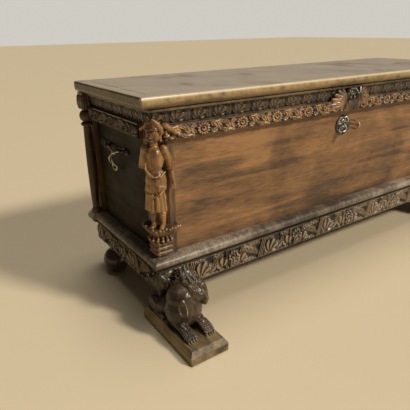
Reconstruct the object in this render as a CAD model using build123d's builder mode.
"""Renaissance walnut cassone on two crouching lions and two ball feet.

The frame: +X runs along the length, the front faces -Y and +Z is up. The origin lies on the
floor under the middle of the whole chest. Every size is in millimetres.
"""

import os
from math import cos, radians, sin

from build123d import *

# ------------------------------------------------------------------ Driving dimensions
# Case
CASE_LENGTH = 1610.0  # over the end boards
CASE_DEPTH = 485.0  # over the front and back boards
BOARD = 26.0
FLOOR_BOARD = 22.0
BASE_BOARD = 60.0
BACK_RAIL = 45.0

# Heights, stacked from the floor
FOOT_HEIGHT = 107.0
BASE_FRIEZE = 78.0
HOLLOW = 15.0
TORUS = 32.0
PANEL = 360.0
FRIEZE = 45.0
CORNICE = 48.0
LID_GAP = 0.3
LID = 36.0

# Projections in front of the boards' faces
BASE_OUT = 21.0
TORUS_OUT = 42.0
TORUS_RIM = 22.0
FRIEZE_OUT = 25.0
CORNICE_LOW = 10.0
CORNICE_OUT = 30.0
CORNICE_LIP = 6.0
LID_FRONT = 35.0
LID_SIDE = 50.0

# Front corner posts and the figures on them
POST = 55.0
POST_PROUD = 8.0
CANT = 42.0
LEDGE_RISE = 100.0  # ledge's top above the base moulding
LEDGE_HEIGHT = 30.0
LEDGE_REACH = 50.0
HELMET_RISE = 25.0  # helmet above the frieze

# Rear corner columns
PILASTER = 50.0
PILASTER_PROUD = 13.0
COLUMN_DIAMETER = 31.4
COLUMN_STAND = 16.0  # column's axis in front of the pilaster
BLOCK_OUT = 48.0
BLOCK_BULGE = 9.0
KNOB_DIAMETER = 46.0
CAPITAL_HEIGHT = 60.0

# Feet
PLINTH_WIDTH = 132.0
PLINTH_LENGTH = 291.0
PLINTH_HEIGHT = 41.0
PLINTH_REACH = 249.5  # in front of the front board
PLINTH_SIDE = 55.3  # beyond the end board
PLINTH_LIP = 11.0
BALL_DIAMETER = 96.0
BALL_INSET = 107.0  # ball's axis in front of the back board's face
BALL_NECK = 40.0

# Lid
LID_FRONT_PLANK = 262.0
LID_TOP_ROUND = 7.0
LID_FOOT_ROUND = 15.0
GROOVE_SIDE = 40.0
GROOVE_FRONT = 58.0
GROOVE_WIDTH = 3.0
GROOVE_DEPTH = 1.6

# Rear hinges
HINGE_X = 520.0
HINGE_WIDTH = 44.0
HINGE_LEAF = 3.0
HINGE_CASE_LEAF = 68.0
HINGE_LID_LEAF = 26.0
KNUCKLE = 12.0  # diameter
KNUCKLE_STAND = 6.5  # hinge axis behind the back
HINGE_PIN = 6.0  # diameter
HINGE_FIT = 0.05  # radial
HINGE_PLAY = 0.3

# Lock and key
KEYHOLE_BELOW = 44.0  # under the frieze
LOCK_WIDTH = 120.0
LOCK_DEPTH = 32.0
LOCK_BELOW = 33.0
LOCK_SUNK = 25.0  # lock's top under the rim
SHANK = 7.2
BIT_REACH = 16.0
BIT_WIDTH = 12.0
BIT_THICK = 5.0
BOLT = 10.0
BOLT_DEPTH = 8.0
BOLT_LENGTH = 44.0
BOLT_TRAVEL = 12.0
STAPLE_THICK = 5.0
STAPLE_DEPTH = 18.0
LOCK_PLAY = 0.3
BOW_LENGTH = 52.0
BOW_HEIGHT = 35.0
BOW_START = 27.0  # bow in front of the front board
PLATE_WIDTH = 76.0
PLATE_HEIGHT = 73.0
PLATE_THICK = 2.5

# End handles
HANDLE_BELOW = 74.0  # eyes under the frieze
HANDLE_AHEAD = 165.0  # handle's middle in front of the rear pilaster
HANDLE_SPAN = 115.0  # between the eyes
HANDLE_STAND = 14.0  # bail's axis out from the end board
HANDLE_LEAF = 3.0
BAIL_ROD = 6.0
BAIL_DROP = 77.0
BAIL_LOOP = 34.0
BAIL_KNOB = 17.0
EYE = 14.0
EYE_WIDTH = 8.0
EYE_FIT = 0.08

# ------------------------------------------------------------------ Derived levels and places
Z_HOLLOW = FOOT_HEIGHT + BASE_FRIEZE
Z_TORUS = Z_HOLLOW + HOLLOW
Z_PANEL = Z_TORUS + TORUS
Z_LEDGE = Z_PANEL + LEDGE_RISE
Z_FRIEZE = Z_PANEL + PANEL
Z_CORNICE = Z_FRIEZE + FRIEZE
Z_RIM = Z_CORNICE + CORNICE
Z_LID = Z_RIM + LID_GAP
Z_TOP = Z_LID + LID
LOCK_Z = Z_FRIEZE - KEYHOLE_BELOW
HANDLE_Z = Z_FRIEZE - HANDLE_BELOW

LEFT = -CASE_LENGTH / 2
HINGE_REACH = KNUCKLE_STAND + KNUCKLE / 2
FRONT = PLINTH_REACH - (PLINTH_REACH + CASE_DEPTH + HINGE_REACH) / 2
BACK = FRONT + CASE_DEPTH
INNER_LEFT = LEFT + BOARD
INNER_FRONT = FRONT + BOARD
INNER_BACK = BACK - BOARD
POST_X = LEFT + POST
POST_Y = FRONT + POST
PILASTER_Y = BACK - PILASTER
PILASTER_X = LEFT - PILASTER_PROUD
COLUMN_X = PILASTER_X - COLUMN_STAND
COLUMN_Y = BACK - PILASTER / 2
Z_CAPITAL = Z_RIM - CAPITAL_HEIGHT
HANDLE_X = LEFT - HANDLE_STAND
HANDLE_MID = PILASTER_Y - HANDLE_AHEAD

BOTTOM = (Align.CENTER, Align.CENTER, Align.MIN)
ON_FRONT = (Align.CENTER, Align.MIN, Align.MIN)
CORNER = (Align.MIN, Align.MIN, Align.MIN)

# Profiles are drawn as (outward, up): on these planes X points away from the case and Y up.
FRONT_SECTION = Plane(origin=(0, FRONT, 0), x_dir=(0, -1, 0), z_dir=(-1, 0, 0))
SIDE_SECTION = Plane(origin=(LEFT, FRONT, 0), x_dir=(-1, 0, 0), z_dir=(0, 1, 0))
LEFT_MITRE = Plane(origin=(LEFT, FRONT, 0), z_dir=(1, -1, 0))
RIGHT_MITRE = Plane(origin=(-LEFT, FRONT, 0), z_dir=(-1, -1, 0))

# The canted face of the left post: X runs across it, Y into the chest.
CANT_MID = (LEFT - POST_PROUD + CANT / 2, FRONT - POST_PROUD + CANT / 2, 0)
CANT_FACE = Plane(origin=CANT_MID, x_dir=(1, -1, 0), z_dir=(0, 0, 1))

os.makedirs("parts", exist_ok=True)


def write(part, name):
    """Label a finished piece and write its STEP file."""
    part.label = name
    export_step(part, f"parts/{name}.step")


def write_pair(left, name):
    """Write a left-hand piece and its mirror image on the right."""
    write(left.part, f"{name}_left")
    with BuildPart() as right:
        mirror(left.part, about=Plane.YZ)
    write(right.part, f"{name}_right")


def board(x_start, x_end, y_start, y_end, z_start, z_end):
    """Add a squared board between the given planes."""
    with Locations((x_start, y_start, z_start)):
        Box(x_end - x_start, y_end - y_start, z_end - z_start, align=CORNER)


def limb(base, sections, mode=Mode.ADD):
    """Loft through ellipses, each (across, along, height, half across, half along)."""
    profiles = []
    for across, along, height, half_across, half_along in sections:
        with BuildSketch(base.offset(height)) as profile:
            with Locations((across, along)):
                Ellipse(half_across, half_along)
        profiles.append(profile.sketch)
    loft(profiles, mode=mode)


def ellipsoid(base, centre, radii, mode=Mode.ADD):
    """Add an ellipsoid at a place in the base plane's own frame."""
    ball = scale(Sphere(1.0, mode=Mode.PRIVATE), by=tuple(radii), mode=Mode.PRIVATE)
    add(base.location * Pos(*centre) * ball, mode=mode)


# ------------------------------------------------------------------ Moulding profiles
def base_profile(plane):
    """Base frame board with a recessed field for its carving."""
    lip = 6.0
    sunk = 3.0
    with BuildSketch(plane) as profile:
        with BuildLine():
            Polyline(
                (BASE_OUT - BASE_BOARD, FOOT_HEIGHT),
                (BASE_OUT, FOOT_HEIGHT),
                (BASE_OUT, FOOT_HEIGHT + lip),
                (BASE_OUT - sunk, FOOT_HEIGHT + lip + sunk),
                (BASE_OUT - sunk, Z_HOLLOW - lip - sunk),
                (BASE_OUT, Z_HOLLOW - lip),
                (BASE_OUT, Z_HOLLOW),
                (BASE_OUT - BASE_BOARD, Z_HOLLOW),
                close=True,
            )
        make_face()
    return profile.sketch


def torus_profile(plane):
    """Hollow under a big torus, with a narrow fillet on top."""
    fillet_height = TORUS * 0.1
    foot = TORUS_RIM + 2
    with BuildSketch(plane) as profile:
        with BuildLine():
            Line((0, Z_HOLLOW), (BASE_OUT - 2, Z_HOLLOW))
            ThreePointArc(
                (BASE_OUT - 2, Z_HOLLOW),
                (BASE_OUT - 0.5 * HOLLOW, Z_HOLLOW + 0.55 * HOLLOW),
                (foot, Z_TORUS),
            )
            ThreePointArc(
                (foot, Z_TORUS),
                (TORUS_OUT, Z_TORUS + 0.45 * TORUS),
                (TORUS_RIM, Z_PANEL - fillet_height),
            )
            Polyline(
                (TORUS_RIM, Z_PANEL - fillet_height),
                (TORUS_RIM, Z_PANEL),
                (0, Z_PANEL),
                (0, Z_HOLLOW),
            )
        make_face()
    return profile.sketch


def frieze_profile(plane):
    """Projecting frieze with a bead below and a narrow lip above its field."""
    lip = 4.0
    sunk = 2.5
    with BuildSketch(plane) as profile:
        with BuildLine():
            Polyline(
                (0, Z_FRIEZE),
                (FRIEZE_OUT - lip, Z_FRIEZE),
                (FRIEZE_OUT, Z_FRIEZE + lip),
                (FRIEZE_OUT - sunk, Z_FRIEZE + lip + sunk),
                (FRIEZE_OUT - sunk, Z_CORNICE - lip),
                (FRIEZE_OUT, Z_CORNICE - lip),
                (FRIEZE_OUT, Z_CORNICE),
                (0, Z_CORNICE),
                close=True,
            )
        make_face()
    return profile.sketch


def cornice_profile(plane):
    """Hollow cornice that carries the lid's overhang."""
    with BuildSketch(plane) as profile:
        with BuildLine():
            Line((0, Z_CORNICE), (CORNICE_LOW, Z_CORNICE))
            Line((CORNICE_LOW, Z_CORNICE), (CORNICE_LOW, Z_CORNICE + CORNICE_LIP))
            ThreePointArc(
                (CORNICE_LOW, Z_CORNICE + CORNICE_LIP),
                (CORNICE_LOW + 0.22 * (CORNICE_OUT - CORNICE_LOW), Z_CORNICE + 0.66 * CORNICE),
                (CORNICE_OUT, Z_RIM - CORNICE_LIP),
            )
            Polyline((CORNICE_OUT, Z_RIM - CORNICE_LIP), (CORNICE_OUT, Z_RIM), (0, Z_RIM), (0, Z_CORNICE))
        make_face()
    return profile.sketch


def front_run(draw, reach):
    """Run a profile along the front and mitre both of its ends."""
    extrude(draw(FRONT_SECTION), amount=CASE_LENGTH / 2 + reach, both=True)
    split(bisect_by=LEFT_MITRE, keep=Keep.TOP)
    split(bisect_by=RIGHT_MITRE, keep=Keep.TOP)


def side_run(draw, reach, end):
    """Run a profile along the left end, from the front mitre to the given y."""
    extrude(draw(SIDE_SECTION.offset(-reach)), amount=reach + end - FRONT)
    split(bisect_by=LEFT_MITRE, keep=Keep.BOTTOM)


# ------------------------------------------------------------------ Base frame
with BuildPart() as lower_frieze_front:
    front_run(base_profile, BASE_OUT)
write(lower_frieze_front.part, "lower_frieze_front")

with BuildPart() as lower_frieze_side:
    side_run(base_profile, BASE_OUT, BACK)
write_pair(lower_frieze_side, "lower_frieze")

with BuildPart() as base_rail_back:
    rail_end = LEFT - BASE_OUT + BASE_BOARD
    board(rail_end, -rail_end, BACK - BACK_RAIL, BACK, FOOT_HEIGHT, Z_HOLLOW)
write(base_rail_back.part, "base_rail_back")

with BuildPart() as torus_front:
    front_run(torus_profile, TORUS_OUT)
write(torus_front.part, "torus_front")

with BuildPart() as torus_side:
    side_run(torus_profile, TORUS_OUT, PILASTER_Y)
write_pair(torus_side, "torus")

# The base moulding steps out here to carry the rear column.
with BuildPart() as base_block:
    with BuildSketch(SIDE_SECTION.offset(PILASTER_Y - FRONT)):
        with BuildLine():
            Line((0, Z_HOLLOW), (BASE_OUT, Z_HOLLOW))
            ThreePointArc(
                (BASE_OUT, Z_HOLLOW),
                (0.5 * (BASE_OUT + BLOCK_OUT), Z_HOLLOW + 0.7 * HOLLOW),
                (BLOCK_OUT, Z_TORUS),
            )
            ThreePointArc(
                (BLOCK_OUT, Z_TORUS),
                (BLOCK_OUT + BLOCK_BULGE, Z_TORUS + 0.45 * TORUS),
                (BLOCK_OUT, Z_PANEL - 0.1 * TORUS),
            )
            Polyline(
                (BLOCK_OUT, Z_PANEL - 0.1 * TORUS),
                (BLOCK_OUT, Z_PANEL),
                (0, Z_PANEL),
                (0, Z_HOLLOW),
            )
        make_face()
    extrude(amount=PILASTER)
write_pair(base_block, "base_block")

# ------------------------------------------------------------------ Feet
PLINTH_X = LEFT - PLINTH_SIDE + PLINTH_WIDTH / 2
PLINTH_FRONT = FRONT - PLINTH_REACH

with BuildPart() as lion_plinth:
    with BuildSketch() as plinth_plan:
        with Locations((PLINTH_X, PLINTH_FRONT)):
            Rectangle(PLINTH_WIDTH, PLINTH_LENGTH, align=(Align.CENTER, Align.MIN))
    extrude(amount=PLINTH_HEIGHT)
    top_edges = lion_plinth.faces().sort_by(Axis.Z)[-1].edges()
    chamfer(top_edges, length=0.4 * PLINTH_HEIGHT, length2=PLINTH_LIP)
    fillet(lion_plinth.edges().filter_by(Axis.Z), radius=3.0)
write_pair(lion_plinth, "lion_plinth")

with BuildPart() as ball_foot:
    ball = BALL_DIAMETER / 2
    neck = BALL_NECK / 2
    sole = 0.4 * ball
    ball_x = LEFT - BASE_OUT + neck
    with BuildSketch(Plane(origin=(ball_x, BACK - BALL_INSET, 0), x_dir=(1, 0, 0), z_dir=(0, -1, 0))):
        with BuildLine():
            Spline(
                (sole, 0),
                (0.85 * ball, 0.2 * FOOT_HEIGHT),
                (ball, 0.47 * FOOT_HEIGHT),
                (0.84 * ball, 0.74 * FOOT_HEIGHT),
                (neck, 0.9 * FOOT_HEIGHT),
            )
            Polyline(
                (neck, 0.9 * FOOT_HEIGHT),
                (neck, FOOT_HEIGHT),
                (0, FOOT_HEIGHT),
                (0, 0),
                (sole, 0),
            )
        make_face()
    revolve(axis=Axis((ball_x, BACK - BALL_INSET, 0), (0, 0, 1)))
write_pair(ball_foot, "ball_foot")

# The lion is drawn about the plinth's middle line, with y = 0 at the front board's face.
LION_WIDE = PLINTH_WIDTH / 132
LION_TALL = (FOOT_HEIGHT - PLINTH_HEIGHT) / 66
LION_LONG = PLINTH_REACH / 249.5
LION_FLOOR = Plane(origin=(PLINTH_X, FRONT, PLINTH_HEIGHT))
LION_NOSE = Plane(origin=(PLINTH_X, FRONT, PLINTH_HEIGHT), x_dir=(1, 0, 0), z_dir=(0, -1, 0))


def lion_limb(sections):
    """Loft an upright limb of the lion through (x, y, z, half x, half y)."""
    sized = [
        (LION_WIDE * x, LION_LONG * y, LION_TALL * z, LION_WIDE * rx, LION_LONG * ry)
        for x, y, z, rx, ry in sections
    ]
    limb(LION_FLOOR, sized)


def lion_reach(sections):
    """Loft a forward limb of the lion through (x, z, distance forward, half x, half z)."""
    sized = [
        (LION_WIDE * x, LION_TALL * z, LION_LONG * out, LION_WIDE * rx, LION_TALL * rz)
        for x, z, out, rx, rz in sections
    ]
    limb(LION_NOSE, sized)


def lion_mass(centre, radii, mode=Mode.ADD):
    """Add a rounded mass of the lion."""
    x, y, z = centre
    across, along, up = radii
    ellipsoid(
        LION_FLOOR,
        (LION_WIDE * x, LION_LONG * y, LION_TALL * z),
        (LION_WIDE * across, LION_LONG * along, LION_TALL * up),
        mode,
    )


with BuildPart() as lion:
    # Barrel chest, rising to the neck
    lion_limb(
        [
            (0, -98, 3, 38, 36),
            (0, -103, 24, 54, 50),
            (0, -106, 52, 60, 55),
            (0, -104, 82, 57, 53),
            (2, -97, 108, 46, 45),
            (8, -86, 128, 32, 34),
        ]
    )
    # Back and haunches under the frieze
    lion_mass((0, -14, 30), (54, 70, 44))
    for side in (-1, 1):
        lion_mass((side * 42, -2, 24), (17, 36, 30))
        lion_reach([(side * 44, 7, 10, 12, 7), (side * 45, 7, 40, 11, 7), (side * 45, 5, 54, 7, 5)])
    # Forelegs and paws
    for side in (-1, 1):
        lion_reach(
            [
                (side * 32, 22, 90, 18, 20),
                (side * 32, 20, 140, 17, 18),
                (side * 32, 15, 176, 16, 14),
                (side * 32, 10, 196, 14, 10),
            ]
        )
        for toe in (-1, 0, 1):
            lion_mass((side * 32 + toe * 9.5, -198, 8), (5.6, 14, 9))
    # Head, turned towards the middle of the front
    lion_mass((28, -122, 112), (34, 37, 33))
    lion_mass((50, -140, 106), (21, 23, 19))
    lion_mass((62, -149, 113), (9, 9, 9))
    lion_mass((54, -134, 86), (14, 17, 14))
    for ear in ((10, -114, 140), (46, -106, 138)):
        lion_mass(ear, (9, 8, 13))
    # Mane, up the front of the frieze
    lion_limb([(44, -70, 110, 19, 24), (50, -62, 134, 15, 17), (54, -58, 156, 10, 12)])
    for x, y, z, size in ((-18, -104, 114, 21), (6, -88, 136, 22), (30, -90, 138, 19)):
        lion_mass((x, y, z), (size, size, size * 1.1))
    # Seat of the base frame on the lion's back, and of the torus on its mane
    with Locations((PLINTH_X, FRONT - BASE_OUT, FOOT_HEIGHT)):
        Box(3 * PLINTH_WIDTH, CASE_DEPTH, Z_PANEL, align=ON_FRONT, mode=Mode.SUBTRACT)
    with Locations((PLINTH_X, FRONT - TORUS_OUT, Z_HOLLOW)):
        Box(3 * PLINTH_WIDTH, CASE_DEPTH, Z_PANEL, align=ON_FRONT, mode=Mode.SUBTRACT)
    # Feet lie flat on the plinth
    with Locations((PLINTH_X, FRONT, PLINTH_HEIGHT)):
        Box(
            3 * PLINTH_WIDTH,
            4 * PLINTH_LENGTH,
            PLINTH_HEIGHT * 2,
            align=(Align.CENTER, Align.CENTER, Align.MAX),
            mode=Mode.SUBTRACT,
        )
write_pair(lion, "lion")

# ------------------------------------------------------------------ Case
with BuildPart() as front_board:
    board(POST_X, -POST_X, FRONT, INNER_FRONT, Z_HOLLOW, Z_RIM)
    # Keyhole
    with BuildSketch(Plane(origin=(0, FRONT, LOCK_Z), x_dir=(1, 0, 0), z_dir=(0, -1, 0))):
        Circle(SHANK / 2 + 1)
        Rectangle(BIT_THICK + 1.2, BIT_REACH + 1, align=(Align.CENTER, Align.MAX))
    extrude(amount=-BOARD, mode=Mode.SUBTRACT)
write(front_board.part, "front_board")

with BuildPart() as back_board:
    board(INNER_LEFT, -INNER_LEFT, INNER_BACK, BACK, Z_HOLLOW, Z_RIM)
write(back_board.part, "back_board")

with BuildPart() as end_board:
    board(LEFT, INNER_LEFT, POST_Y, PILASTER_Y, Z_HOLLOW, Z_RIM)
write_pair(end_board, "end_board")

with BuildPart() as rear_pilaster:
    board(LEFT, INNER_LEFT, PILASTER_Y, BACK, Z_HOLLOW, Z_PANEL)
    board(PILASTER_X, INNER_LEFT, PILASTER_Y, BACK, Z_PANEL, Z_RIM)
write_pair(rear_pilaster, "rear_pilaster")

FLOOR_JOINT = (INNER_FRONT + INNER_BACK) / 2

with BuildPart() as bottom_board_front:
    board(POST_X, -POST_X, INNER_FRONT, POST_Y, Z_HOLLOW, Z_HOLLOW + FLOOR_BOARD)
    board(INNER_LEFT, -INNER_LEFT, POST_Y, FLOOR_JOINT, Z_HOLLOW, Z_HOLLOW + FLOOR_BOARD)
write(bottom_board_front.part, "bottom_board_front")

with BuildPart() as bottom_board_back:
    board(INNER_LEFT, -INNER_LEFT, FLOOR_JOINT, INNER_BACK, Z_HOLLOW, Z_HOLLOW + FLOOR_BOARD)
write(bottom_board_back.part, "bottom_board_back")

with BuildPart() as frieze_front:
    extrude(frieze_profile(FRONT_SECTION), amount=-POST_X, both=True)
write(frieze_front.part, "frieze_front")

with BuildPart() as frieze_side:
    extrude(frieze_profile(SIDE_SECTION.offset(POST)), amount=CASE_DEPTH - PILASTER - POST)
write_pair(frieze_side, "frieze")

with BuildPart() as cornice_front:
    front_run(cornice_profile, CORNICE_OUT)
write(cornice_front.part, "cornice_front")

with BuildPart() as cornice_side:
    side_run(cornice_profile, CORNICE_OUT, PILASTER_Y)
write_pair(cornice_side, "cornice")

# ------------------------------------------------------------------ Front corner posts
POST_FACE_X = LEFT - POST_PROUD
POST_FACE_Y = FRONT - POST_PROUD

with BuildPart() as post_core:
    board(LEFT, POST_X, FRONT, POST_Y, Z_HOLLOW, Z_RIM)
    with BuildSketch(Plane.XY.offset(Z_PANEL)):
        with BuildLine():
            Polyline(
                (POST_X, POST_FACE_Y),
                (POST_FACE_X + CANT, POST_FACE_Y),
                (POST_FACE_X, POST_FACE_Y + CANT),
                (POST_FACE_X, POST_Y),
                (POST_X, POST_Y),
                close=True,
            )
        make_face()
    extrude(amount=Z_CORNICE - Z_PANEL)
    # The cant stops under the cornice and above the base moulding
    with BuildSketch(Plane.XY.offset(Z_PANEL)):
        with BuildLine():
            Polyline(
                (POST_FACE_X, POST_FACE_Y),
                (POST_FACE_X + CANT, POST_FACE_Y),
                (POST_FACE_X, POST_FACE_Y + CANT),
                close=True,
            )
        make_face()
    extrude(amount=Z_CORNICE - Z_PANEL, mode=Mode.SUBTRACT)

with BuildPart() as corner_post:
    add(post_core.part)
    # Round-fronted ledge for the figure, over a hanging leaf block
    foot = Z_LEDGE - LEDGE_HEIGHT
    limb(
        CANT_FACE,
        [
            (0, 0, foot, 0.62 * LEDGE_REACH, 0.5 * LEDGE_REACH),
            (0, 0, foot + 0.45 * LEDGE_HEIGHT, 0.92 * LEDGE_REACH, 0.86 * LEDGE_REACH),
            (0, 0, foot + 0.85 * LEDGE_HEIGHT, 0.96 * LEDGE_REACH, 0.96 * LEDGE_REACH),
        ],
    )
    with BuildSketch(CANT_FACE.offset(foot + 0.8 * LEDGE_HEIGHT)):
        Circle(LEDGE_REACH)
        with PolarLocations(LEDGE_REACH, 9, start_angle=190, angular_range=160, endpoint=True):
            Circle(0.09 * LEDGE_REACH)
    extrude(amount=0.2 * LEDGE_HEIGHT)
    leaf_foot = Z_PANEL + 8
    limb(
        CANT_FACE,
        [
            (0, 0, leaf_foot, 0.3 * LEDGE_REACH, 0.42 * LEDGE_REACH),
            (0, 0, leaf_foot + 0.3 * (foot - leaf_foot), 0.48 * LEDGE_REACH, 0.74 * LEDGE_REACH),
            (0, 0, leaf_foot + 0.75 * (foot - leaf_foot), 0.54 * LEDGE_REACH, 0.8 * LEDGE_REACH),
            (0, 0, foot + 0.3 * LEDGE_HEIGHT, 0.5 * LEDGE_REACH, 0.5 * LEDGE_REACH),
        ],
    )
    # The carving ends with the post, beside the boards
    split(bisect_by=Plane(origin=(POST_X, 0, 0), z_dir=(-1, 0, 0)), keep=Keep.TOP)
    split(bisect_by=Plane(origin=(0, POST_Y, 0), z_dir=(0, -1, 0)), keep=Keep.TOP)
write_pair(corner_post, "corner_post")

# ------------------------------------------------------------------ Soldiers on the corners
# The figure is drawn 329 tall on the ledge, X across it and Y into the chest.
FIGURE_HEIGHT = Z_CORNICE + HELMET_RISE - Z_LEDGE
FIGURE_SCALE = FIGURE_HEIGHT / 329
FIGURE_OUT = -27.0  # figure's axis in front of the canted face
FIGURE_FLOOR = CANT_FACE.offset(Z_LEDGE)


def figure_limb(sections):
    """Loft a limb of the figure through (x, y from its axis, z, half x, half y)."""
    sized = [
        [FIGURE_SCALE * v for v in (x, y + FIGURE_OUT, z, rx, ry)] for x, y, z, rx, ry in sections
    ]
    limb(FIGURE_FLOOR, sized)


def figure_ball(centre, radius):
    """Add a ball to the figure."""
    x, y, z = centre
    place = [FIGURE_SCALE * v for v in (x, y + FIGURE_OUT, z)]
    with Locations(FIGURE_FLOOR.location * Pos(*place)):
        Sphere(FIGURE_SCALE * radius)


def figure_band(height, thick, half_x, half_y):
    """Add a flat raised band around the figure."""
    with BuildSketch(FIGURE_FLOOR.offset(FIGURE_SCALE * height)) as ring:
        with Locations((0, FIGURE_SCALE * FIGURE_OUT)):
            Ellipse(FIGURE_SCALE * half_x, FIGURE_SCALE * half_y)
    extrude(ring.sketch, amount=FIGURE_SCALE * thick)


with BuildPart() as soldier:
    # Belly, and cuirass with its banded hem
    figure_limb([(0, 0, 106, 28, 22), (0, -2, 128, 37, 31), (0, -2, 152, 36, 31), (0, -1, 186, 25, 20)])
    figure_limb([(0, 0, 176, 32.5, 27.5), (0, 0, 210, 31, 25), (0, 0, 238, 34, 26), (0, 1, 251, 27, 20)])
    figure_limb([(0, 2, 246, 25, 17), (0, 1, 264, 12, 12)])
    for height, width, depth in ((178, 35, 30), (185, 34.4, 29.4), (192, 33.8, 28.8)):
        figure_band(height, 3.5, width, depth)
    # Boots and legs
    for side in (-1, 1):
        figure_limb([(side * 14, -8, 0, 9, 16), (side * 14, -7, 7, 8.4, 13), (side * 13.5, -3, 14, 6, 7)])
        figure_limb(
            [
                (side * 13, 2, 0, 9.6, 10),
                (side * 13, 3, 14, 8.5, 10),
                (side * 13, 3, 34, 11, 12),
                (side * 13, 2, 58, 12, 13),
                (side * 13, 2, 80, 13, 14),
            ]
        )
        figure_limb([(side * 13, 2, 40, 12.5, 13.5), (side * 13, 2, 47, 13.8, 14.8)])
    # Pleated kilt
    figure_limb([(0, 1, 62, 33, 23), (0, 1, 85, 36, 26), (0, 1, 114, 34, 27)])
    for side in (-1, 1):
        for pleat in range(3):
            angle = radians(20 + 27 * pleat)
            x = side * 34 * sin(angle)
            y = -23 * cos(angle)
            figure_limb([(x, y, 58, 6.5, 5.5), (0.97 * x, y - 1, 101, 4, 4)])
    # Arms close to the post's faces
    for side in (-1, 1):
        figure_ball((side * 29, 3, 240), 13)
        figure_limb(
            [
                (side * 32, 5, 242, 10, 11),
                (side * 38, 12, 214, 10.5, 11),
                (side * 43, 19, 192, 11, 11),
            ]
        )
    figure_limb([(43, 20, 197, 7.5, 8), (42, 22, 166, 7, 7), (40, 21, 146, 5.5, 6), (39, 20, 131, 6, 6)])
    # Neck, head and hair
    figure_limb(
        [
            (0, 0, 250, 11, 11),
            (0, -3, 264, 12.5, 14),
            (0, -5, 276, 18, 19.5),
            (0, -4, 292, 19.5, 20),
            (0, -3, 303, 17, 18),
        ]
    )
    figure_limb([(0, -23, 275, 3.4, 4), (0, -22, 289, 2, 3)])
    for side in (-1, 1):
        figure_limb([(side * 17, 1, 263, 5, 6), (side * 19, 0, 279, 7, 8), (side * 18, 0, 297, 5, 6)])
    # Helmet with brim, crest and plume
    figure_limb([(0, -4, 294, 24, 26), (0, -4, 299, 25, 28), (0, -3, 306, 21, 23), (0, -3, 324, 11, 13)])
    figure_limb([(0, -7, 297, 5, 33), (0, -7, 316, 5, 22), (0, -6, 329, 4, 9)])
    figure_limb([(24, 4, 297.5, 6, 6), (28, 5, 307, 10, 9), (25, 4, 317, 6, 6)])
    figure_limb([(37, 9, 293.5, 5, 5), (40, 10, 303, 9, 8), (39, 9, 311, 5, 5)])
    figure_limb([(47, 14, 290.5, 5, 5), (50, 16, 298.5, 8, 7.5), (49, 16, 305, 5, 5)])
    # Carved hard against the post, the frieze and the cornice
    add(post_core.part, mode=Mode.SUBTRACT)
    add(cornice_front.part, mode=Mode.SUBTRACT)
    add(cornice_side.part, mode=Mode.SUBTRACT)
    add(frieze_front.part, mode=Mode.SUBTRACT)
    add(frieze_side.part, mode=Mode.SUBTRACT)
write_pair(soldier, "soldier")

# ------------------------------------------------------------------ Rear corner columns
with BuildPart() as rear_column:
    shaft = COLUMN_DIAMETER / 2
    knob = KNOB_DIAMETER / 2
    knob_mid = Z_CAPITAL - knob
    ring = knob_mid - knob
    base_top = Z_PANEL + 22
    column_section = Plane(origin=(COLUMN_X, COLUMN_Y, 0), x_dir=(1, 0, 0), z_dir=(0, -1, 0))
    with BuildSketch(column_section):
        with BuildLine():
            Polyline((0, Z_PANEL), (shaft + 3, Z_PANEL), (shaft + 3, Z_PANEL + 10))
            ThreePointArc(
                (shaft + 3, Z_PANEL + 10),
                (shaft - 1, Z_PANEL + 16),
                (shaft - 3, base_top),
            )
            Spline((shaft - 3, base_top), (shaft, 0.5 * (base_top + ring) - 30), (shaft - 2, ring - 14))
            Line((shaft - 2, ring - 14), (shaft + 1, ring - 12))
            ThreePointArc((shaft + 1, ring - 12), (shaft + 5, ring - 6), (shaft + 1, ring))
            Line((shaft + 1, ring), (0.5 * knob, ring + 3))
            Spline(
                (0.5 * knob, ring + 3),
                (0.88 * knob, knob_mid - 0.5 * knob),
                (knob, knob_mid),
                (0.88 * knob, knob_mid + 0.5 * knob),
                (0.5 * knob, Z_CAPITAL - 3),
            )
            Polyline((0.5 * knob, Z_CAPITAL - 3), (0.5 * knob, Z_CAPITAL), (0, Z_CAPITAL), (0, Z_PANEL))
        make_face()
    revolve(axis=Axis((COLUMN_X, COLUMN_Y, 0), (0, 0, 1)))
    split(bisect_by=Plane(origin=(PILASTER_X, 0, 0), z_dir=(-1, 0, 0)), keep=Keep.TOP)
write_pair(rear_column, "rear_column")

with BuildPart() as capital_block:
    capital_out = min(COLUMN_STAND + KNOB_DIAMETER / 2 - 1, LID_SIDE - PILASTER_PROUD)
    board(PILASTER_X - capital_out, PILASTER_X, PILASTER_Y, BACK, Z_CAPITAL, Z_RIM)
    fillet(capital_block.faces().sort_by(Axis.X)[0].edges().filter_by(Axis.Z), radius=8.0)
    lower = capital_block.faces().sort_by(Axis.Z)[0].edges().sort_by(Axis.X)[:3]
    chamfer(lower, length=5.0)
write_pair(capital_block, "capital_block")

# ------------------------------------------------------------------ Mask over the lock
MASK_SCALE = (FRIEZE + CORNICE) / 93
MASK_FACE = Plane(origin=(0, FRONT - FRIEZE_OUT, Z_FRIEZE), x_dir=(1, 0, 0), z_dir=(0, 0, 1))
BEARD_STRANDS = 5
MASK_CURLS = ((-23, 64), (-17, 75), (-6, 81), (6, 81), (17, 75), (23, 64))


def mask_limb(*sections):
    """Add a tapering mass of the mask, with y = 0 on the frieze's face."""
    limb(MASK_FACE, [[MASK_SCALE * v for v in section] for section in sections])


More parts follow.
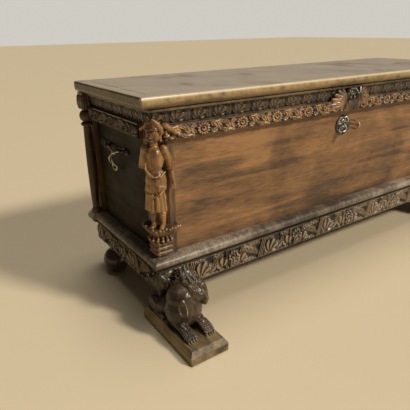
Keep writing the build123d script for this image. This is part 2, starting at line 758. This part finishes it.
with BuildPart() as mask:
    mask_limb(
        (0, 3, 1, 36, 13),
        (0, 2, 22, 48, 19),
        (0, -2, 48, 33, 25),
        (0, -4, 70, 25, 25),
        (0, 1, 90, 14, 19),
    )
    mask_limb((0, -24, 45, 6, 7), (0, -25, 52, 4.5, 6), (0, -24, 66, 2.5, 4))
    for strand in range(BEARD_STRANDS):
        x = strand - (BEARD_STRANDS - 1) / 2
        mask_limb((17 * x, -11, 3, 5, 6), (15 * x, -16, 18, 7.5, 9), (11 * x, -20, 38, 5, 7))
    for x, z in MASK_CURLS:
        with Locations(MASK_FACE.location * Pos(MASK_SCALE * x, -15 * MASK_SCALE, MASK_SCALE * z)):
            Sphere(9.5 * MASK_SCALE)
    for side in (-1, 1):
        mask_limb((side * 50, 2, 12, 8, 7), (side * 60, 3, 45, 15, 13), (side * 56, 3, 80, 6, 7))
        mask_limb((side * 70, 3, 8, 8, 6), (side * 80, 3, 38, 14, 11), (side * 76, 3, 70, 5, 6))
        mask_limb((side * 90, 4, 5, 7, 6), (side * 99, 3, 24, 12, 9), (side * 97, 4, 46, 5, 6))
    with BuildSketch(FRONT_SECTION):
        with BuildLine():
            Polyline(
                (0, Z_FRIEZE),
                (FRIEZE_OUT, Z_FRIEZE),
                (FRIEZE_OUT, Z_CORNICE),
                (CORNICE_OUT, Z_RIM - CORNICE_LIP),
                (CORNICE_OUT, Z_RIM),
                (0, Z_RIM),
                (0, Z_FRIEZE),
            )
        make_face()
    extrude(amount=CASE_LENGTH / 2, both=True, mode=Mode.SUBTRACT)
write(mask.part, "mask")

# ------------------------------------------------------------------ Lid
LID_END = LEFT - LID_SIDE
LID_FACE = FRONT - LID_FRONT
LID_JOINT = LID_FACE + LID_FRONT_PLANK
GROOVE_X = LID_END + GROOVE_SIDE
GROOVE_Y = LID_FACE + GROOVE_FRONT
GROOVE_BACK = BACK - GROOVE_FRONT


def groove(x_start, x_end, y_start, y_end):
    """Cut a shallow incised line in the lid's top."""
    with Locations((x_start, y_start, Z_TOP - GROOVE_DEPTH)):
        Box(x_end - x_start, y_end - y_start, 2 * GROOVE_DEPTH, align=CORNER, mode=Mode.SUBTRACT)


with BuildPart() as lid_front_board:
    board(LID_END, -LID_END, LID_FACE, LID_JOINT, Z_LID, Z_TOP)
    fillet(lid_front_board.faces().sort_by(Axis.Z)[-1].edges().sort_by(Axis.Y)[:-1], LID_TOP_ROUND)
    fillet(lid_front_board.faces().sort_by(Axis.Z)[0].edges().sort_by(Axis.Y)[:-1], LID_FOOT_ROUND)
    groove(GROOVE_X, -GROOVE_X, GROOVE_Y, GROOVE_Y + GROOVE_WIDTH)
    groove(GROOVE_X, GROOVE_X + GROOVE_WIDTH, GROOVE_Y, LID_JOINT)
    groove(-GROOVE_X - GROOVE_WIDTH, -GROOVE_X, GROOVE_Y, LID_JOINT)
write(lid_front_board.part, "lid_front_board")

with BuildPart() as lid_back_board:
    board(LID_END, -LID_END, LID_JOINT, BACK, Z_LID, Z_TOP)
    fillet(lid_back_board.faces().sort_by(Axis.Z)[-1].edges().filter_by(Axis.Y), LID_TOP_ROUND)
    fillet(lid_back_board.faces().sort_by(Axis.Z)[0].edges().filter_by(Axis.Y), LID_FOOT_ROUND)
    groove(GROOVE_X, -GROOVE_X, GROOVE_BACK - GROOVE_WIDTH, GROOVE_BACK)
    groove(GROOVE_X, GROOVE_X + GROOVE_WIDTH, LID_JOINT, GROOVE_BACK)
    groove(-GROOVE_X - GROOVE_WIDTH, -GROOVE_X, LID_JOINT, GROOVE_BACK)
write(lid_back_board.part, "lid_back_board")

# ------------------------------------------------------------------ Rear hinges
AXIS_Y = BACK + KNUCKLE_STAND
AXIS_Z = Z_RIM + LID_GAP / 2
KNUCKLE_LENGTH = (HINGE_WIDTH - 2 * HINGE_PLAY) / 3
HINGE_MIDS = (-HINGE_X, HINGE_X)


def knuckle(mid, side):
    """Add one knuckle about the hinge axis, joined down (-1) or up (1) to its leaf."""
    with BuildSketch(Plane(origin=(mid, AXIS_Y, AXIS_Z), x_dir=(0, 1, 0), z_dir=(1, 0, 0))) as end:
        Circle(KNUCKLE / 2)
        with Locations((-KNUCKLE_STAND, 0)):
            align = (Align.MIN, Align.MIN if side > 0 else Align.MAX)
            Rectangle(HINGE_LEAF, KNUCKLE_STAND + 1, align=align)
    extrude(end.sketch, amount=KNUCKLE_LENGTH / 2, both=True)


def bore(mid):
    """Bore the knuckles of one hinge for its pin."""
    with Locations((mid, AXIS_Y, AXIS_Z)):
        Cylinder(HINGE_PIN / 2 + HINGE_FIT, 2 * HINGE_WIDTH, rotation=(0, 90, 0), mode=Mode.SUBTRACT)


OUTER_KNUCKLE = KNUCKLE_LENGTH + HINGE_PLAY
LEAF_START = KNUCKLE_STAND + 0.5

for name, mid in zip(("left", "right"), HINGE_MIDS):
    with BuildPart() as hinge_plate:
        knuckle(mid - OUTER_KNUCKLE, -1)
        knuckle(mid + OUTER_KNUCKLE, -1)
        board(
            mid - HINGE_WIDTH / 2,
            mid + HINGE_WIDTH / 2,
            BACK,
            BACK + HINGE_LEAF,
            AXIS_Z - LEAF_START - HINGE_CASE_LEAF,
            AXIS_Z - LEAF_START,
        )
        bore(mid)
    write(hinge_plate.part, f"hinge_plate_{name}")

    with BuildPart() as hinge_strap:
        knuckle(mid, 1)
        board(
            mid - HINGE_WIDTH / 2,
            mid + HINGE_WIDTH / 2,
            BACK,
            BACK + HINGE_LEAF,
            AXIS_Z + LEAF_START,
            AXIS_Z + LEAF_START + HINGE_LID_LEAF,
        )
        bore(mid)
    write(hinge_strap.part, f"hinge_strap_{name}")

with BuildPart() as hinge_pins:
    for mid in HINGE_MIDS:
        with Locations((mid, AXIS_Y, AXIS_Z)):
            Cylinder(HINGE_PIN / 2, HINGE_WIDTH + 4, rotation=(0, 90, 0))
        for side in (-1, 1):
            with Locations((mid + side * (HINGE_WIDTH / 2 + 1), AXIS_Y, AXIS_Z)):
                Cylinder(0.4 * KNUCKLE, 2, rotation=(0, 90, 0))
write(hinge_pins.part, "hinge_pins")

# ------------------------------------------------------------------ Lock
LOCK_BACK = INNER_FRONT + LOCK_DEPTH
BOLT_Y = INNER_FRONT + 0.47 * LOCK_DEPTH
BOLT_Z = Z_RIM - 42.0
TAIL_X = SHANK / 2 + 2.9
TAIL_WIDTH = 6.0
BOLT_NOSE = TAIL_X + TAIL_WIDTH + BOLT_TRAVEL + 1.5
STAPLE_X = BOLT_NOSE + 3.5
POCKET_REACH = 2.5

with BuildPart() as lock_case:
    board(
        -LOCK_WIDTH / 2,
        LOCK_WIDTH / 2,
        INNER_FRONT,
        LOCK_BACK,
        LOCK_Z - LOCK_BELOW,
        Z_RIM - LOCK_SUNK,
    )
    # Round chamber for the key's bit, and the bore for its end
    with Locations((0, INNER_FRONT, LOCK_Z)):
        Cylinder(
            BIT_REACH + 1.5,
            LOCK_DEPTH - 6,
            rotation=(-90, 0, 0),
            align=BOTTOM,
            mode=Mode.SUBTRACT,
        )
        Cylinder(
            SHANK / 2 + EYE_FIT,
            LOCK_DEPTH,
            rotation=(-90, 0, 0),
            align=BOTTOM,
            mode=Mode.SUBTRACT,
        )
    # Channels for the bolt and its tail
    with Locations((BOLT_NOSE - BOLT_LENGTH - 3, BOLT_Y, BOLT_Z)):
        Box(
            BOLT_LENGTH + BOLT_TRAVEL + 6,
            BOLT_DEPTH + 2 * LOCK_PLAY,
            BOLT + 2 * LOCK_PLAY,
            align=(Align.MIN, Align.CENTER, Align.CENTER),
            mode=Mode.SUBTRACT,
        )
    with Locations((TAIL_X - 0.5, BOLT_Y, LOCK_Z - 1.5)):
        Box(
            TAIL_WIDTH + BOLT_TRAVEL + 1,
            BOLT_DEPTH + 2 * LOCK_PLAY,
            BOLT_Z - LOCK_Z,
            align=(Align.MIN, Align.CENTER, Align.MIN),
            mode=Mode.SUBTRACT,
        )
    # Pocket that the lid's staple drops into
    with Locations((STAPLE_X + STAPLE_THICK / 2, BOLT_Y, Z_RIM)):
        Box(
            STAPLE_THICK + 2 * LOCK_PLAY + 0.4,
            STAPLE_DEPTH + 2 * POCKET_REACH + 1,
            Z_RIM - BOLT_Z + 1.2 * BOLT,
            align=(Align.CENTER, Align.CENTER, Align.MAX),
            mode=Mode.SUBTRACT,
        )
write(lock_case.part, "lock_case")

with BuildPart() as lock_bolt:
    with Locations((BOLT_NOSE - BOLT_LENGTH, BOLT_Y, BOLT_Z)):
        Box(BOLT_LENGTH, BOLT_DEPTH, BOLT, align=(Align.MIN, Align.CENTER, Align.CENTER))
    with Locations((TAIL_X, BOLT_Y, LOCK_Z - 1)):
        Box(TAIL_WIDTH, BOLT_DEPTH, BOLT_Z - LOCK_Z, align=(Align.MIN, Align.CENTER, Align.MIN))
write(lock_bolt.part, "lock_bolt")

with BuildPart() as lid_staple:
    plate = 3.0
    drop = Z_LID - plate - BOLT_Z + BOLT
    with Locations((STAPLE_X + STAPLE_THICK / 2, BOLT_Y, Z_LID)):
        Box(46, STAPLE_DEPTH + 8, plate, align=(Align.CENTER, Align.CENTER, Align.MAX))
    with Locations((STAPLE_X + STAPLE_THICK / 2, BOLT_Y, Z_LID - plate)):
        Box(STAPLE_THICK, STAPLE_DEPTH, drop, align=(Align.CENTER, Align.CENTER, Align.MAX))
    with Locations((STAPLE_X + STAPLE_THICK / 2, BOLT_Y, BOLT_Z)):
        Box(2 * STAPLE_THICK, BOLT_DEPTH + 1.4, BOLT + 2, mode=Mode.SUBTRACT)
write(lid_staple.part, "lid_staple")

KEY_PLANE = Plane(origin=(0, FRONT, LOCK_Z), x_dir=(0, -1, 0), z_dir=(-1, 0, 0))

with BuildPart() as key:
    with Locations((0, LOCK_BACK - 1, LOCK_Z)):
        Cylinder(SHANK / 2, LOCK_BACK - 1 - FRONT + BOW_START + 3, rotation=(90, 0, 0), align=BOTTOM)
    with Locations((0, FRONT - BOW_START + 4, LOCK_Z)):
        Cylinder(0.8 * SHANK, 5, rotation=(90, 0, 0))
    # Bit
    with Locations((0, BOLT_Y, LOCK_Z)):
        Box(BIT_THICK, BIT_WIDTH, BIT_REACH, align=(Align.CENTER, Align.CENTER, Align.MAX))
    # Bow of two pierced lobes
    with BuildSketch(KEY_PLANE):
        with Locations((BOW_START + BOW_LENGTH / 2, 0)):
            Ellipse(BOW_LENGTH / 2, BOW_HEIGHT / 2)
            for side in (-1, 1):
                with Locations((0, side * 0.23 * BOW_HEIGHT)):
                    Ellipse(0.33 * BOW_LENGTH, 0.13 * BOW_HEIGHT, mode=Mode.SUBTRACT)
    extrude(amount=2.5, both=True)
write(key.part, "key")

with BuildPart() as escutcheon:
    face = Plane(origin=(0, FRONT, LOCK_Z - 11), x_dir=(1, 0, 0), z_dir=(0, -1, 0))
    with BuildSketch(face):
        Ellipse(PLATE_WIDTH / 2, PLATE_HEIGHT / 2)
        with Locations((0, 11)):
            Circle(SHANK / 2 + 1, mode=Mode.SUBTRACT)
            Rectangle(
                BIT_THICK + 1.2,
                BIT_REACH + 1,
                align=(Align.CENTER, Align.MAX),
                mode=Mode.SUBTRACT,
            )
    extrude(amount=PLATE_THICK)
    with BuildSketch(face.offset(PLATE_THICK)):
        Ellipse(PLATE_WIDTH / 2, PLATE_HEIGHT / 2)
        Ellipse(PLATE_WIDTH / 2 - 7, PLATE_HEIGHT / 2 - 7, mode=Mode.SUBTRACT)
    extrude(amount=PLATE_THICK)
write(escutcheon.part, "escutcheon")

# ------------------------------------------------------------------ End handles
EYE_MIDS = (HANDLE_MID - HANDLE_SPAN / 2, HANDLE_MID + HANDLE_SPAN / 2)
END_FACE = Plane(origin=(LEFT, HANDLE_MID, HANDLE_Z), x_dir=(0, 1, 0), z_dir=(-1, 0, 0))

with BuildPart() as handle_plate:
    # X on this face points to the back and Y points down
    with BuildSketch(END_FACE):
        Rectangle(HANDLE_SPAN + 20, 15)
        for side in (-1, 1):
            with Locations((side * HANDLE_SPAN / 2, 0)):
                Circle(13)
        with Locations((HANDLE_SPAN / 2 + 48, 4)):
            Ellipse(40, 16)
        with Locations((-HANDLE_SPAN / 2 - 20, 0)):
            Ellipse(16, 9)
    extrude(amount=HANDLE_LEAF)
write_pair(handle_plate, "handle_plate")

with BuildPart() as eyes_left:
    for mid in EYE_MIDS:
        with Locations((HANDLE_X, mid, HANDLE_Z)):
            Cylinder(EYE / 2, EYE_WIDTH, rotation=(90, 0, 0))
        board(
            HANDLE_X,
            LEFT - HANDLE_LEAF,
            mid - EYE_WIDTH / 2,
            mid + EYE_WIDTH / 2,
            HANDLE_Z - EYE / 2 + 1,
            HANDLE_Z + EYE / 2 - 1,
        )
        with Locations((HANDLE_X, mid, HANDLE_Z)):
            Cylinder(BAIL_ROD / 2 + EYE_FIT, 2 * EYE_WIDTH, rotation=(90, 0, 0), mode=Mode.SUBTRACT)
with BuildPart() as handle_eyes:
    add(eyes_left.part)
    mirror(eyes_left.part, about=Plane.YZ)
write(handle_eyes.part, "handle_eyes")

with BuildPart() as bail:
    bail_plane = Plane(origin=(HANDLE_X, HANDLE_MID, HANDLE_Z), x_dir=(0, 1, 0), z_dir=(1, 0, 0))
    rod = BAIL_ROD / 2
    reach = HANDLE_SPAN / 2 + EYE_WIDTH / 2 + 2
    shoulder = HANDLE_SPAN / 2 - EYE_WIDTH / 2 - 5
    knob_drop = 14.0
    loop = BAIL_LOOP / 2
    loop_mid = BAIL_DROP - rod - loop
    with BuildLine(bail_plane) as arms:
        FilletPolyline(
            (-reach, 0),
            (-shoulder, 0),
            (0, -knob_drop),
            (shoulder, 0),
            (reach, 0),
            radius=10,
        )
    with BuildSketch(Plane(origin=arms.line @ 0, z_dir=arms.line % 0)):
        Circle(rod)
    sweep(path=arms.line)
    with BuildLine(bail_plane) as ring:
        ThreePointArc((-loop, -loop_mid), (0, -loop_mid - loop), (loop, -loop_mid))
        TangentArc((loop, -loop_mid), (0, -knob_drop), tangent=(0, 1))
    with BuildLine(bail_plane) as ring_return:
        TangentArc((-loop, -loop_mid), (0, -knob_drop), tangent=(0, 1))
    with BuildSketch(Plane(origin=ring.line @ 0, z_dir=ring.line % 0)):
        Circle(rod)
    sweep(path=ring.line)
    with BuildSketch(Plane(origin=ring_return.line @ 0, z_dir=ring_return.line % 0)):
        Circle(rod)
    sweep(path=ring_return.line)
    with Locations((HANDLE_X, HANDLE_MID, HANDLE_Z - knob_drop)):
        Sphere(BAIL_KNOB / 2)
    for side in (-1, 1):
        with Locations((HANDLE_X, HANDLE_MID + side * (reach + 0.75), HANDLE_Z)):
            Cylinder(rod + 1.3, 1.5, rotation=(90, 0, 0))
write_pair(bail, "bail")

# ------------------------------------------------------------------ Nails
NAIL = 4.0


def nail_heads(plane, places):
    """Add domed nail heads on a plane."""
    for place in places:
        with BuildSketch(plane) as head:
            with Locations(place):
                RegularPolygon(NAIL, 8)
        extrude(head.sketch, amount=0.45 * NAIL, taper=30)


PLATE_HEADS = [(x, z) for x in (-14, 14) for z in (-18, -58)]

with BuildPart() as case_nails:
    for mid in HINGE_MIDS:
        back_face = Plane(
            origin=(mid, BACK + HINGE_LEAF, AXIS_Z), x_dir=(-1, 0, 0), z_dir=(0, 1, 0)
        )
        nail_heads(back_face, PLATE_HEADS)
    nail_heads(
        Plane(origin=(0, FRONT - 2 * PLATE_THICK, LOCK_Z - 11), x_dir=(1, 0, 0), z_dir=(0, -1, 0)),
        [(0, PLATE_HEIGHT / 2 - 3.5), (0, 3.5 - PLATE_HEIGHT / 2)],
    )
    for side in (-1, 1):
        face_out = Plane(
            origin=(side * (-LEFT + HANDLE_LEAF), HANDLE_MID, HANDLE_Z),
            x_dir=(0, 1, 0),
            z_dir=(side, 0, 0),
        )
        nail_heads(face_out, [(HANDLE_SPAN / 2 + 34, 0), (-HANDLE_SPAN / 2 - 26, 0)])
write(case_nails.part, "case_nails")

with BuildPart() as lid_nails:
    for mid in HINGE_MIDS:
        lid_face = Plane(
            origin=(mid, BACK + HINGE_LEAF, AXIS_Z), x_dir=(-1, 0, 0), z_dir=(0, 1, 0)
        )
        nail_heads(lid_face, [(-14, 20), (14, 20)])
write(lid_nails.part, "lid_nails")
